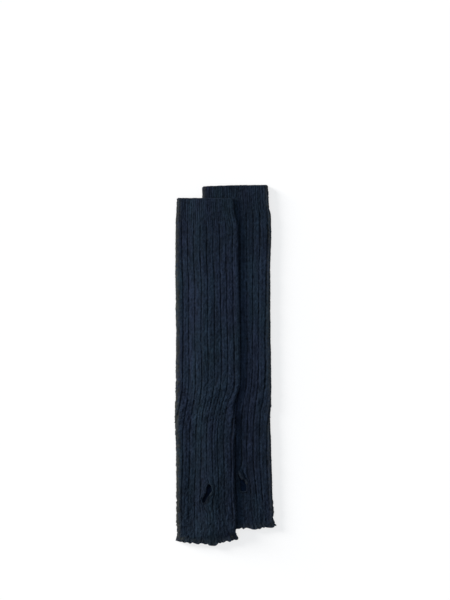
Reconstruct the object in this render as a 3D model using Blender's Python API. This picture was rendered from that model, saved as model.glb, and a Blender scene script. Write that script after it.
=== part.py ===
"""A pair of ribbed knit arm warmers, laid flat, the left one lying over the right one.

Metres, +Z up. +X runs across the pair and +Y from the hand hems to the upper-arm cuffs. The origin
lies under the middle of the pair, on the surface that the pair rests on.

Each warmer is a knitted tube pressed flat: an upper cuff in fine rib, a sleeve in wide rib with a
thumb hole, a hand cuff in fine rib, a ruffled hem, and the overcast edging of the thumb hole. Every
piece is an open tube of knitted wall, lofted through sections of the flattened tube.
"""

import math

import bmesh
import bpy
import numpy as np

MM = 0.001

# Knitted wall
WALL = 2.0 * MM  # thickness between the ribs
HOLLOW = 1.0 * MM  # air between the two panels of a flattened tube
HALF = WALL + HOLLOW / 2  # from the middle of the hollow to the plain outer face
RIB = 1.2 * MM  # how far a rib stands out of the wall
HEM_WALL = 1.3 * MM  # the ruffled hem is a thinner knit
HEM_HALF = HEM_WALL + HOLLOW / 2
SEAM = 0.3 * MM  # gap between pieces that are joined
LAY = 0.35 * MM  # gap between the left warmer and the right one that it lies on

# Lengths along a warmer
UPPER_CUFF = 30 * MM
HAND_END = 31 * MM  # hand cuff and ruffle together
RUFFLE = 8 * MM
HEM_BOW = 4.2 * MM  # the hem hangs lower in its middle than at its corners

# Ribs of one panel
WIDE_RIBS = 9.15  # rib widths across a panel, in wide rib, where the folded edges take the rest of ten
WIDE_VALLEYS = 9
SHOULDER = 0.2  # from a valley to the full height of a rib, in rib widths
FINE_RIBS = 2 * WIDE_RIBS
FINE_VALLEYS = 17

# Ruffle of one panel
WAVES = 12
WAVE_LIFT = 3.0 * MM
SCALLOP = 0.8 * MM
WAVE_FREE = 6 * MM  # from the left warmer's edge to full waves on the right one
CURL_SPAN = 1 / 14  # half the width of the curled stretch, as a share of the hem
RUFFLE_STEPS = 3

# Thumb hole, as it lies open
HOLE_LENGTH = 27 * MM
HOLE_END_WIDTH = 2.4 * MM
HOLE_STEPS = 9
EDGING = 1.2 * MM  # thickness of the overcast edging
EDGING_PROUD = 0.5 * MM

# Where the left warmer climbs onto the right one
CLIMB = 30 * MM
CLIMB_END = 4 * MM  # inside the right warmer's left edge
HEM_DROP = 14 * MM  # the left hem comes back down to the floor past the right hem

# Between two rings of an outer face, at most
SLEEVE_STEP = 21 * MM
CUFF_STEP = 12 * MM

COLOURS = {
    "wide_rib_knit": (0.0115, 0.0175, 0.0290, 1),
    "fine_rib_knit": (0.0105, 0.0160, 0.0270, 1),
    "edging_yarn": (0.0135, 0.0190, 0.0310, 1),
}

# Outlines as they lie, in millimetres: y, left edge, right edge
OUTLINE_COLUMNS = ("y", "left", "right")
LEFT_OUTLINE = (
    (225.5, -65.0, 10.9),
    (206.9, -65.8, 12.4),
    (196.2, -66.4, 15.2),
    (182.7, -66.8, 17.5),
    (139.5, -67.3, 17.8),
    (88.2, -66.4, 19.1),
    (27.4, -66.2, 20.2),
    (-19.8, -66.2, 19.9),
    (-33.3, -66.4, 18.3),
    (-42.8, -66.6, 14.5),
    (-52.2, -67.0, 11.8),
    (-68.4, -67.3, 13.4),
    (-90.0, -67.0, 14.2),
    (-103.5, -66.1, 12.1),
    (-141.3, -65.8, 12.2),
    (-175.1, -65.5, 12.6),
    (-202.1, -65.7, 15.1),
    (-226.0, -64.3, 14.1),
    (-230.5, -65.2, 15.8),
    (-235.0, -66.5, 17.6),
)
RIGHT_OUTLINE = (
    (242.3, -30.7, 57.6),
    (223.2, -30.3, 58.7),
    (211.0, -30.4, 59.7),
    (203.5, -30.8, 61.8),
    (169.2, -31.4, 62.2),
    (139.5, -31.1, 61.0),
    (88.2, -30.6, 60.7),
    (27.4, -30.0, 61.4),
    (-26.6, -29.5, 62.2),
    (-46.8, -27.7, 62.3),
    (-60.3, -23.7, 61.2),
    (-71.1, -21.9, 60.7),
    (-100.8, -21.7, 61.5),
    (-144.0, -21.4, 62.8),
    (-176.4, -20.9, 63.7),
    (-198.0, -20.3, 65.7),
    (-207.0, -20.4, 64.5),
    (-212.0, -21.2, 66.0),
    (-216.5, -22.3, 67.7),
)

# Soft folds of the upper panel, in millimetres and degrees
FOLD_COLUMNS = ("x", "y", "length", "width", "turn", "height")
LEFT_FOLDS = (
    (-12.0, -34.0, 60.0, 15.0, 32.0, 1.3),
    (-18.0, -64.0, 66.0, 14.0, 27.0, 1.1),
    (-46.0, 150.0, 90.0, 20.0, 84.0, 0.8),
    (-20.0, 60.0, 120.0, 24.0, 95.0, 0.7),
    (-24.0, -178.0, 52.0, 34.0, 90.0, 0.9),
)
RIGHT_FOLDS = (
    (46.0, -44.0, 34.0, 12.0, 40.0, 1.2),
    (44.0, -78.0, 36.0, 12.0, 36.0, 0.9),
    (48.0, 120.0, 110.0, 16.0, 88.0, 0.7),
    (38.0, -158.0, 40.0, 22.0, 90.0, 0.8),
)

# Each warmer: its name, outline and folds, the y of its two ends and how far each end tilts, the middle
# and width of its thumb hole and how far that leans over at each end, where and how far its hem curls, how
# far its ribs are shifted, as a share of a panel, and how finely its underside follows what it lies on
LEFT = {
    "name": "left",
    "outline": LEFT_OUTLINE,
    "folds": LEFT_FOLDS,
    "top": 225.5 * MM,
    "hem": -235.8 * MM,
    "top_tilt": 0.6 * MM,
    "hem_tilt": 3.0 * MM,
    "hole": (-24.0 * MM, -173.5 * MM),
    "hole_width": 10.6 * MM,
    "hole_sway": 4.0 * MM,
    "curl": (0.59, 4.4 * MM),
    "rib_shift": 0.0,
    "floor_steps": 16,
}
RIGHT = {
    "name": "right",
    "outline": RIGHT_OUTLINE,
    "folds": RIGHT_FOLDS,
    "top": 241.7 * MM,
    "hem": -216.3 * MM,
    "top_tilt": 2.4 * MM,
    "hem_tilt": 1.0 * MM,
    "hole": (22.6 * MM, -159.0 * MM),
    "hole_width": 11.8 * MM,
    "hole_sway": -2.8 * MM,
    "curl": (0.69, 0.8 * MM),
    "rib_shift": 0.03,
    "floor_steps": 8,
}


def smooth(share):
    """0 to 1 with level ends."""
    share = min(max(share, 0.0), 1.0)
    return share * share * (3 - 2 * share)


def edges(warmer, y):
    """The left and right edge of a warmer at y."""
    rows = np.array(warmer["outline"])[::-1] * MM
    return tuple(float(np.interp(y, rows[:, 0], rows[:, i])) for i in (1, 2))


def support(warmer, x, y):
    """How high the warmer's underside lies: on the floor, or on the other warmer."""
    if warmer is RIGHT:
        return 0.0
    step = 2 * HALF + RIB + LAY
    start = edges(RIGHT, y)[0] + CLIMB_END - CLIMB
    return step * smooth((x - start) / CLIMB) * smooth((y - LEFT["hem"]) / HEM_DROP)


def fold_height(warmer, x, y):
    """How far the soft folds raise the upper panel."""
    height = 0.0
    for row in warmer["folds"]:
        fold = dict(zip(FOLD_COLUMNS, row))
        across, along = x - fold["x"] * MM, y - fold["y"] * MM
        turn = math.radians(fold["turn"])
        u = (across * math.cos(turn) + along * math.sin(turn)) / (fold["length"] / 2 * MM)
        v = (along * math.cos(turn) - across * math.sin(turn)) / (fold["width"] / 2 * MM)
        height += fold["height"] * MM * smooth(1 - math.hypot(u, v) / 1.4)
    return height


# ---- Sections across a flattened tube ----
# A section is a list of (side, place, lift): the side is "top", "right", "bottom" or "left", the place
# is a share of the width on a panel or an angle in degrees on a folded edge, and the lift is a share
# of the rib's height.

FOLDED_EDGE = ((75, 1.0), (45, 1.0), (20, 0.0), (-2, 0.8), (-35, 0.5), (-65, 0.0))


def panel_ribs(warmer, valleys, ribs, shoulder):
    """The ribbed top panel from left to right."""
    stops = [(0.0, 1.0)]
    for i in range(valleys):
        valley = 0.5 + (i - (valleys - 1) / 2) / ribs + warmer["rib_shift"]
        if shoulder:
            stops += [(valley - shoulder / ribs, 1.0), (valley, 0.0), (valley + shoulder / ribs, 1.0)]
        else:
            stops += [(valley, 0.0)] + [(valley + 0.5 / ribs, 1.0)] * (i < valleys - 1)
    return [("top", place, lift) for place, lift in stops + [(1.0, 1.0)]]


def folded_edges():
    right = [("right", angle, lift) for angle, lift in FOLDED_EDGE]
    left = [("left", 180 - angle, lift) for angle, lift in reversed(FOLDED_EDGE)]
    return right, left


def section(top, floor_stops):
    """A whole section, clockwise from the upper left."""
    right, left = folded_edges()
    floor = [("bottom", 1 - i / floor_stops, 0.0) for i in range(floor_stops + 1)]
    return top + right + floor + left


def ring(warmer, y, across, half, rib, inset, shift=None):
    """The points of one section at y.

    half is the height of its plain face over the hollow's middle, rib the height of its ribs, and inset
    the way from the outline to the middle of the folded edge. shift(share, upper) moves a point in y and z.
    """
    left, right = edges(warmer, y)
    centre_left, centre_right = left + inset, right - inset
    points = []
    for side, place, lift in across:
        reach = half + rib * lift
        if side in ("top", "bottom"):
            x = centre_left + (centre_right - centre_left) * place
            share, height = place, reach if side == "top" else -reach
        else:
            centre = centre_right if side == "right" else centre_left
            x = centre + reach * math.cos(math.radians(place))
            share, height = float(side == "right"), reach * math.sin(math.radians(place))
        upper = 1.0 if side == "top" else max(0.0, height / reach) if side != "bottom" else 0.0
        dy, dz = shift(share, upper) if shift else (0.0, 0.0)
        raised = upper * (fold_height(warmer, x, y) if side == "top" else 0.0)
        z = support(warmer, x, y) + HALF + height + raised + dz
        points.append((x, y + dy + end_slant(warmer, share, y), max(z, 0.0)))
    return points


def end_slant(warmer, share, y):
    """The free ends aren't square: both tilt, and the hem bows."""
    to_top = smooth((y - warmer["top"]) / UPPER_CUFF + 1)
    to_hem = smooth((warmer["hem"] - y) / HAND_END + 1)
    bow = HEM_BOW * 4 * share * (1 - share)
    return warmer["top_tilt"] * (share - 0.5) * to_top + (warmer["hem_tilt"] * (share - 0.5) - bow) * to_hem


# ---- Solids ----


def new_object(name, mesh, slot, collection):
    data = bpy.data.meshes.new(name)
    bmesh.ops.recalc_face_normals(mesh, faces=mesh.faces)
    mesh.to_mesh(data)
    mesh.free()
    made = bpy.data.objects.new(name, data)
    collection.objects.link(made)
    if slot:
        made.data.materials.append(material(slot))
    data.shade_smooth()
    data.set_sharp_from_angle(angle=math.radians(60))
    return made


def closed_loft(name, rings, slot, collection):
    """Skins rings of equal length, each to the next and the last to the first."""
    mesh = bmesh.new()
    loops = [[mesh.verts.new(point) for point in points] for points in rings]
    for loop, following in zip(loops, loops[1:] + loops[:1]):
        for i in range(len(loop)):
            j = (i + 1) % len(loop)
            mesh.faces.new((loop[i], loop[j], following[j], following[i]))
    return new_object(name, mesh, slot, collection)


def stations(warmer, low, high, longest):
    """Places for rings: both ends, the outline's rows between them, and more where those are far apart."""
    rows = [row[0] * MM for row in warmer["outline"] if low + 3 * MM < row[0] * MM < high - 3 * MM]
    marks = [low] + sorted(rows) + [high]
    found = []
    for start, end in zip(marks, marks[1:]):
        steps = max(1, math.ceil((end - start) / longest))
        found += [start + (end - start) * i / steps for i in range(steps)]
    return found + [high]


def tube(warmer, name, low, high, across, slot, collection, longest):
    """A length of flattened tube: a ribbed outer face over a plain inner one."""
    inset = HALF + RIB
    outer = [ring(warmer, y, across, HALF, RIB, inset) for y in stations(warmer, low, high, longest)]
    inner = [
        ring(warmer, y, across, HOLLOW / 2, 0.0, inset) for y in stations(warmer, low, high, 2 * longest)
    ]
    return closed_loft(f"{warmer['name']}_{name}", outer + inner[::-1], slot, collection)


def ruffle(warmer, low, high, collection):
    """The hem: a thin wall that stands in waves on the upper panel, scalloped at its edge."""
    top = [("top", i / (4 * WAVES), 0.0) for i in range(4 * WAVES + 1)]
    across = section(top, 2 * WAVES)
    pressed = edges(LEFT, low)[1]  # up to here the left warmer holds the right one's waves down

    def wave(y):
        out = smooth((high - y) / (high - low))
        hem_left, hem_right = edges(warmer, y)

        def shift(share, upper):
            x = hem_left + (hem_right - hem_left) * share
            free = 1.0 if warmer is LEFT else smooth((x - pressed) / WAVE_FREE)
            turn = 2 * math.pi * WAVES * share
            middle, depth = warmer["curl"]
            curl = depth * smooth(1 - abs(share - middle) / CURL_SPAN)
            dy = -out * (SCALLOP * math.sin(turn + 1.2) + curl * (0.4 + 0.6 * upper))
            lift = free * upper * WAVE_LIFT * (0.5 - 0.5 * math.cos(turn))
            return dy, out * (lift - HALF + HEM_HALF)

        return shift

    places = [low + (high - low) * i / RUFFLE_STEPS for i in range(RUFFLE_STEPS + 1)]
    outer = [ring(warmer, y, across, HEM_HALF, 0.0, HEM_HALF, wave(y)) for y in places]
    inner = [ring(warmer, y, across, HOLLOW / 2, 0.0, HEM_HALF, wave(y)) for y in places]
    return closed_loft(f"{warmer['name']}_ruffle", outer + inner[::-1], "fine_rib_knit", collection)


# ---- Thumb hole ----


def hole_line(warmer, share):
    """A place along the thumb slit, 0 at its hand end and 1 at its arm end, and half its width there."""
    x, y = warmer["hole"]
    sway = warmer["hole_sway"] * math.sin(math.pi * (share - 0.5))
    widening = (warmer["hole_width"] - HOLE_END_WIDTH) / 2
    half_width = HOLE_END_WIDTH / 2 + widening * math.sin(math.pi * share) ** 0.8
    return x + sway, y + HOLE_LENGTH * (share - 0.5), half_width


def hollow_height(warmer, x, y):
    """The middle of the hollow under the upper panel."""
    return support(warmer, x, y) + HALF + fold_height(warmer, x, y) / 2


def hole_cutter(warmer, collection):
    """A block the shape of the slit, from the middle of the hollow to above the upper panel."""
    mesh = bmesh.new()
    rows = []
    for i in range(HOLE_STEPS + 1):
        x, y, half_width = hole_line(warmer, i / HOLE_STEPS)
        places = (x - half_width, x, x + half_width)
        rows.append([mesh.verts.new((px, y, hollow_height(warmer, px, y))) for px in places])
    for row, following in zip(rows, rows[1:]):
        for i in range(2):
            mesh.faces.new((row[i], row[i + 1], following[i + 1], following[i]))
    raised = bmesh.ops.extrude_face_region(mesh, geom=list(mesh.faces))
    verts = [item for item in raised["geom"] if isinstance(item, bmesh.types.BMVert)]
    bmesh.ops.translate(mesh, verts=verts, vec=(0, 0, 4 * HALF))
    cutter = new_object(f"{warmer['name']}_hole_cutter", mesh, None, collection)
    cutter.hide_render = True
    cutter.display_type = "WIRE"
    return cutter


def hole_outline(warmer, inset):
    """Points round the slit, that far inside its edge."""
    steps = [i / HOLE_STEPS for i in range(HOLE_STEPS + 1)]
    lines = [hole_line(warmer, step) for step in steps]
    rim = [(x + w, y) for x, y, w in lines] + [(x - w, y) for x, y, w in reversed(lines)]
    points = []
    for i, (x, y) in enumerate(rim):
        before, after = rim[i - 1], rim[(i + 1) % len(rim)]
        along = (after[0] - before[0], after[1] - before[1])
        size = math.hypot(*along)
        points.append((x - inset * along[1] / size, y + inset * along[0] / size))
    return points


def thumb_edging(warmer, collection):
    """The overcast edge that lines the thumb hole, a little proud of the ribs."""
    outside = hole_outline(warmer, SEAM)
    middle = hole_outline(warmer, SEAM + EDGING / 2)
    inside = hole_outline(warmer, SEAM + EDGING)
    rings = []
    for (ox, oy), (mx, my), (ix, iy) in zip(outside, middle, inside):
        base = support(warmer, ox, oy) + HALF + fold_height(warmer, ox, oy) + HOLLOW / 2
        crest = base + WALL + RIB + EDGING_PROUD
        rings.append(
            (
                (mx, my, base),
                (ox, oy, base + 0.4 * EDGING),
                (ox, oy, crest - 0.4 * EDGING),
                (mx, my, crest),
                (ix, iy, crest - 0.4 * EDGING),
                (ix, iy, base + 0.4 * EDGING),
            )
        )
    return closed_loft(f"{warmer['name']}_thumb_edging", rings, "edging_yarn", collection)


def material(slot):
    made = bpy.data.materials.get(slot)
    if made is None:
        made = bpy.data.materials.new(slot)
        made.use_nodes = True
        shader = made.node_tree.nodes["Principled BSDF"]
        shader.inputs["Base Color"].default_value = COLOURS[slot]
        shader.inputs["Roughness"].default_value = 0.95
        shader.inputs["Metallic"].default_value = 0.0
    return made


def arm_warmer(warmer, collection, cutters):
    wide = section(panel_ribs(warmer, WIDE_VALLEYS, WIDE_RIBS, SHOULDER), warmer["floor_steps"])
    fine = section(panel_ribs(warmer, FINE_VALLEYS, FINE_RIBS, 0), warmer["floor_steps"])
    top, hem = warmer["top"], warmer["hem"]
    low, high = hem + HAND_END, top - UPPER_CUFF
    tube(warmer, "upper_cuff", high + SEAM, top, fine, "fine_rib_knit", collection, CUFF_STEP)
    tube(warmer, "hand_cuff", hem + RUFFLE + SEAM, low - SEAM, fine, "fine_rib_knit", collection, CUFF_STEP)
    sleeve = tube(warmer, "sleeve", low, high, wide, "wide_rib_knit", collection, SLEEVE_STEP)
    cut = sleeve.modifiers.new("thumb_hole", "BOOLEAN")
    cut.operation = "DIFFERENCE"
    cut.solver = "EXACT"
    cut.object = hole_cutter(warmer, cutters)
    ruffle(warmer, hem, hem + RUFFLE, collection)
    thumb_edging(warmer, collection)


def main():
    for old in list(bpy.data.objects):
        bpy.data.objects.remove(old)
    pair = bpy.data.collections.new("arm_warmers")
    cutters = bpy.data.collections.new("cutters")
    for collection in (pair, cutters):
        bpy.context.scene.collection.children.link(collection)
    for warmer in (LEFT, RIGHT):
        arm_warmer(warmer, pair, cutters)


main()
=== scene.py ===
"""Looks of a pair of navy ribbed arm warmers that lie flat, the left one over the right one.

Metres, +Z up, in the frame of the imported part: +X runs across the pair and +Y from the hand hems to the
upper-arm cuffs. Every piece of a warmer is a knitted wall whose outer face has its own stitches: each
wale is a column of small V shapes, with two wales on a wide rib and one on a narrow rib of the cuffs.
"""

import math

import bmesh
import bpy
import numpy as np
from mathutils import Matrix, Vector


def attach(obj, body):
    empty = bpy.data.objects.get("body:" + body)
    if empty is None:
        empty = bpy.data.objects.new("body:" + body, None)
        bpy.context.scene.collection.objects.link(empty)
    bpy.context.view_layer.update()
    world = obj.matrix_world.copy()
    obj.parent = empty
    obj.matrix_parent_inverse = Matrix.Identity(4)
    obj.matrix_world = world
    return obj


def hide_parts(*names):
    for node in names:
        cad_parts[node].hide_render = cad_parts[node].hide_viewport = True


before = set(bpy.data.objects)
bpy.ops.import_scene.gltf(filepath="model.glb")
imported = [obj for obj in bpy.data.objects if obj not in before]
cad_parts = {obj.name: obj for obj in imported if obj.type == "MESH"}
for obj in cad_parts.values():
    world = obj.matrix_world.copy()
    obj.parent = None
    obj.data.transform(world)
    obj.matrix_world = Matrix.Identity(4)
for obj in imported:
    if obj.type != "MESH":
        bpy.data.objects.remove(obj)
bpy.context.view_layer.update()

MM = 0.001

# ---- Sizes that the part has too ----

WALL = 2.0 * MM
HOLLOW = 1.0 * MM
HALF = WALL + HOLLOW / 2  # from the middle of the hollow to the plain outer face
RIB = 1.2 * MM
HEM_WALL = 1.3 * MM
HEM_HALF = HEM_WALL + HOLLOW / 2
LAY = 0.35 * MM  # gap between the left warmer and the right one that it lies on

UPPER_CUFF = 30 * MM
HAND_END = 31 * MM  # hand cuff and ruffle together
RUFFLE = 8 * MM

CLIMB = 30 * MM  # where the left warmer climbs onto the right one
CLIMB_END = 4 * MM
HEM_DROP = 14 * MM

# ---- Sizes of the looks alone ----

# Left and right fold: how far in from the outline a panel is flat, and the way round that quarter turn
FOLD_REACH = (6.0 * MM, 1.8 * MM)
FOLD_QUARTER = (7.4 * MM, 4.5 * MM)
FOLD_OUT = 0.7 * MM  # how far the rib on a fold stands past the outline's middle
FLOOR_GAP = 0.03 * MM  # keeps the pressed stitches out of the floor's own plane

HOLE_LENGTH = 29 * MM
EDGING_PROUD = 0.3 * MM  # how far the slit's edging stands out of the middle of its rim
PUSH_REACH = 5.4 * MM  # how far beside the slit its two sides push wales
LEAN_REACH = 7.5 * MM  # how far beside it wales lean with it
LEAN_BEYOND = 12 * MM  # how far past its ends they still lean

# Outlines as they lie, in millimetres: y, left edge, right edge
LEFT_OUTLINE = (
    (225.5, -65, 10.9), (206.9, -65.8, 12.4), (196.2, -66.4, 15.2), (182.7, -66.8, 17.5),
    (139.5, -67.3, 17.8), (88.2, -66.4, 19.1), (27.4, -66.2, 20.2), (-19.8, -66.2, 19.9),
    (-33.3, -66.4, 18.3), (-42.8, -66.6, 14.5), (-52.2, -67, 11.8), (-68.4, -67.3, 13.4),
    (-90, -67, 14.2), (-103.5, -66.1, 12.1), (-141.3, -65.8, 12.2), (-175.1, -65.5, 12.6),
    (-202.1, -65.7, 15.1), (-223.5, -64.3, 13.9), (-228.5, -64.9, 15.2), (-233, -66.3, 17.4),
    (-239, -70.5, 22.5),
)
RIGHT_OUTLINE = (
    (242.3, -30.7, 57.6), (223.2, -30.3, 58.7), (211, -30.4, 59.7), (203.5, -30.8, 61.8),
    (169.2, -31.4, 62.2), (139.5, -31.1, 61), (88.2, -30.6, 60.7), (27.4, -30, 61.4),
    (-26.6, -29.5, 62.2), (-46.8, -27.7, 62.3), (-60.3, -23.7, 61.2), (-71.1, -21.9, 60.7),
    (-100.8, -21.7, 61.5), (-144, -21.4, 62.8), (-176.4, -20.9, 63.7), (-198, -20.3, 65.7),
    (-207, -20.4, 64.5), (-212, -21.2, 65.6), (-216.5, -22.3, 69.4), (-222, -23.6, 75.5),
)

# Soft folds of the upper panel, in millimetres and degrees. The part has the first ones of each list.
FOLD_COLUMNS = ("x", "y", "length", "width", "turn", "height")
LEFT_FOLDS = (
    (-12, -34, 60, 15, 32, 1.3), (-18, -64, 66, 14, 27, 1.1), (-46, 150, 90, 20, 84, 0.8),
    (-20, 60, 120, 24, 95, 0.7), (-24, -178, 52, 34, 90, 0.9), (-44, 84, 34, 7, 38, 0.5),
    (-36, 72, 30, 7, 20, 0.5), (9, 49, 22, 7, -30, 0.5), (-50, -52, 36, 8, 42, 0.5),
    (-30, -86, 40, 9, 30, 0.5), (-52, -196, 30, 9, 70, 0.5), (2, -204, 26, 8, -55, 0.5),
    (-27.5, -168, 14, 6, 62, 1), (-34.5, -181, 14, 6, 80, 1.3), (-26.2, -180.2, 13, 5, 64, 0.9),
)
RIGHT_FOLDS = (
    (46, -44, 34, 12, 40, 1.2), (44, -78, 36, 12, 36, 0.9), (48, 120, 110, 16, 88, 0.7),
    (38, -158, 40, 22, 90, 0.8), (52, -18, 26, 7, 35, 0.5), (30, -128, 34, 8, -60, 0.6),
    (52, -186, 26, 8, 60, 0.5), (40, 200, 30, 8, 70, 0.4), (21.7, -147.9, 16, 4.4, -65, 1.9),
    (25.2, -145.3, 14, 3.8, -65, -1.1), (16.6, -160.5, 22, 5, 90, 1.1),
)

# Places with painted shade, where the lips of the slits and the hems lie in shadow, as the folds above,
# with how dark the painted shade is
LEFT_SHADE_PATCHES = (
    (-24.4, -180.2, 15, 8, 64, 2.1), (-32.5, -236.3, 9, 4.2, 0, 1.6), (-20.5, -239, 8, 3.4, 0, 1.4),
    (-44.6, -233.3, 3.2, 5, 0, 1.3), (12.6, -232, 3.6, 7, 0, 1.4),
)
RIGHT_SHADE_PATCHES = (
    (24.2, -144.4, 12, 3, -63, 1.3), (21.5, -213.8, 9, 5, 0, 0.9), (31, -216, 6, 3.2, 0, 1),
    (47, -213.3, 28, 3.2, -9, 0.8),
)

# Frayed, pale yarn at the hems, as the folds above, with how pale it is
LEFT_PALES = (
    (-59, -234, 20, 9, 0, 0.75), (-41, -235.6, 9, 4.4, 0, 0.5), (-1, -236, 13, 4, 0, 0.55),
    (8.6, -231.6, 5, 9, 0, 0.8), (15.6, -232.4, 3, 4, 0, 0.5), (-17, -241.6, 6, 2.4, 0, 0.4),
)
RIGHT_PALES = (
    (57.8, -208, 4, 9, 0, 0.55), (64.8, -214, 6, 5, 0, 0.65), (29.6, -218.2, 8, 2.6, 0, 0.55),
    (47.5, -218, 6, 2.6, 0, 0.45),
)

# How far each groove of the upper panel wanders from its own place: y in millimetres, then hundredths of
# a rib for grooves 1 to 10, counted from the left fold of the upper arm. Below the bend the tubes are
# twisted by nearly one rib, so that the first groove has gone round the left fold.
LEFT_GROOVES = (
    (189, 4, -4, -5, 3, 10, 10, 16, 18, 18, 18),
    (156, 8, -2, -8, -4, 2, 1, 9, 7, 7, 6),
    (115, 22, 14, 8, 15, 13, 16, 14, 12, 8, 7),
    (75, 18, 6, 3, 7, 7, 13, 9, 5, 1, 2),
    (34, 14, 5, -1, -5, 1, 6, 11, 9, 8, 10),
    (-6, 8, 8, 12, 11, 11, 12, 20, 17, 13, 16),
    (-27, 10, 12, 19, 16, 10, 9, 13, 10, 18, 20),
    (-47, -9, 6, 17, 14, 7, 7, 11, 13, 12, 18),
    (-67, -42, -31, -19, -25, -36, -38, -44, -55, -58, -37),
    (-87, -84, -76, -55, -53, -67, -71, -82, -90, -92, -72),
    (-128, -92, -80, -56, -55, -65, -70, -72, -72, -70, -54),
    (-168, -112, -104, -90, -87, -84, -70, -56, -69, -67, -60),
    (-209, -112, -110, -100, -90, -77, -70, -69, -69, -77, -65),
)
RIGHT_GROOVES = (
    (189, 44, 44, 44, 46, 50, 50, 46, 43, 45, 50),
    (156, 44, 44, 44, 48, 53, 53, 46, 41, 43, 49),
    (115, 44, 44, 48, 52, 56, 59, 46, 40, 34, 45),
    (75, 40, 40, 44, 50, 56, 61, 40, 31, 32, 35),
    (34, 34, 34, 40, 46, 54, 59, 34, 22, 15, 30),
    (-6, 28, 28, 34, 42, 50, 56, 30, 19, 21, 24),
    (-27, 14, 14, 18, 24, 32, 37, 15, 10, 10, 14),
    (-47, -16, -16, -14, -11, -8, -3, -21, -20, -20, -7),
    (-67, -51, -51, -51, -51, -52, -52, -59, -55, -56, -33),
    (-87, -76, -76, -76, -76, -77, -77, -75, -74, -70, -61),
    (-128, -76, -76, -76, -76, -76, -76, -91, -92, -80, -75),
    (-168, -76, -76, -76, -76, -76, -70, -48, -53, -60, -64),
    (-209, -76, -76, -76, -71, -66, -56, -34, -40, -59, -70),
)

# Thumb slits: share of the length from the lower end, then the middle line's offset and half the width
LEFT_SLIT = (
    (0, -3.9, 0), (0.05, -3.9, 2.1), (0.1, -4, 2.9), (0.2, -4, 3.2), (0.29, -3.3, 3.5),
    (0.36, -2, 3.8), (0.43, 0.1, 4.1), (0.52, 2.1, 4.6), (0.6, 3.1, 4.8), (0.7, 3.4, 4.8),
    (0.85, 3.4, 4.6), (0.94, 3.4, 3.4), (1, 3.2, 0),
)
RIGHT_SLIT = (
    (0, 1.8, 0), (0.04, 1.8, 4), (0.1, 1.8, 4.9), (0.25, 1.7, 5.1), (0.5, 1.7, 5.1),
    (0.62, 1.2, 4.9), (0.67, -1, 4.2), (0.72, -3.2, 3.4), (0.8, -4, 2.8), (0.9, -4.4, 2.3),
    (0.96, -4.6, 1.6), (1, -4.6, 0),
)

# Where a slit's edging yarn is thicker or curls over, and how pale it is: millimetres and shares
NUB_COLUMNS = ("x", "y", "reach", "gain", "pale")
LEFT_NUBS = (
    (-17.6, -173.5, 3, 0.6, 0.2), (-28.8, -189, 3, 0.5, 0.35), (-31, -165, 6, 0.2, 0.1),
    (-25, -181, 5, -0.35, 0),
)
RIGHT_NUBS = (
    (21.9, -147.8, 7, 1, 0.12), (29.4, -157.2, 3.6, 0.7, 0.3), (21, -172.5, 4, 0.3, 0.2),
)

# How the tone of the yarn changes along a warmer: y in millimetres, and how light it is there
LEFT_TONES = (
    (-236, 0.3), (-205, 0.2), (-190, -1), (-168, -1), (-150, -0.2), (-90, -0.2), (-60, 0.5),
    (-10, 0.5), (30, 0.35), (125, 0.3), (150, -0.8), (190, -0.6), (200, 0.5), (225, 0.5),
)
RIGHT_TONES = (
    (-217, 0.6), (-190, 0.15), (-165, -0.5), (-80, -0.7), (-40, -0.4), (0, 0.5), (60, 0.75),
    (145, 0.5), (165, -0.95), (205, -0.95), (216, -0.5), (242, -0.5),
)

# How rough the knit is along a warmer: y in millimetres, and how far stitches stand out unevenly
LEFT_ROUGHNESS = (
    (-236, 3.2), (-226, 2.9), (-205, 2.5), (-180, 2.2), (-140, 1),
    (-100, 1.3), (-75, 2.1), (-35, 2), (0, 1.1), (230, 1),
)
RIGHT_ROUGHNESS = (
    (-217, 3.2), (-208, 2.9), (-190, 2.4), (-160, 0.7), (-80, 0.9),
    (-30, 0.9), (20, 0.7), (200, 0.6), (215, 1.2), (242, 1.4),
)

# A warmer has its tables, the y of its two ends, how far each end tilts and bows, the middle of its slit,
# how pale its left and right folds are painted, as wear and painted highlight, how much painted light its
# inside has, and where and how far its hem curls
LEFT = dict(
    name="left",
    seed=11,
    outline=LEFT_OUTLINE,
    folds=LEFT_FOLDS,
    shade_patches=LEFT_SHADE_PATCHES,
    pales=LEFT_PALES,
    grooves=LEFT_GROOVES,
    slit=LEFT_SLIT,
    nubs=LEFT_NUBS,
    tones=LEFT_TONES,
    roughness=LEFT_ROUGHNESS,
    top=224.4 * MM,
    hem=-234.4 * MM,
    top_tilt=-1.4 * MM,
    hem_tilt=2.2 * MM,
    top_bow=0.0,
    hem_bow=5.1 * MM,
    hole=(-24.6 * MM, -173.0 * MM),
    wear_and_highlight=(1.0, 0.0),
    painted_inside_light=0.5,
    curl=(0.598, 3.3 * MM),
)
RIGHT = dict(
    name="right",
    seed=23,
    outline=RIGHT_OUTLINE,
    folds=RIGHT_FOLDS,
    shade_patches=RIGHT_SHADE_PATCHES,
    pales=RIGHT_PALES,
    grooves=RIGHT_GROOVES,
    slit=RIGHT_SLIT,
    nubs=RIGHT_NUBS,
    tones=RIGHT_TONES,
    roughness=RIGHT_ROUGHNESS,
    top=241.5 * MM,
    hem=-217.0 * MM,
    top_tilt=1.9 * MM,
    hem_tilt=1.6 * MM,
    top_bow=0.6 * MM,
    hem_bow=1.9 * MM,
    hole=(23.0 * MM, -158.3 * MM),
    wear_and_highlight=(0.5, 0.45),
    painted_inside_light=1.0,
    curl=(0.69, 1.8 * MM),
)

# ---- Stitches ----
# Places round a warmer are counted in wide ribs: 0 at the left fold of the upper arm, 5 at the middle of
# the upper panel, 10 at the right fold and 15 underneath.

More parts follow.
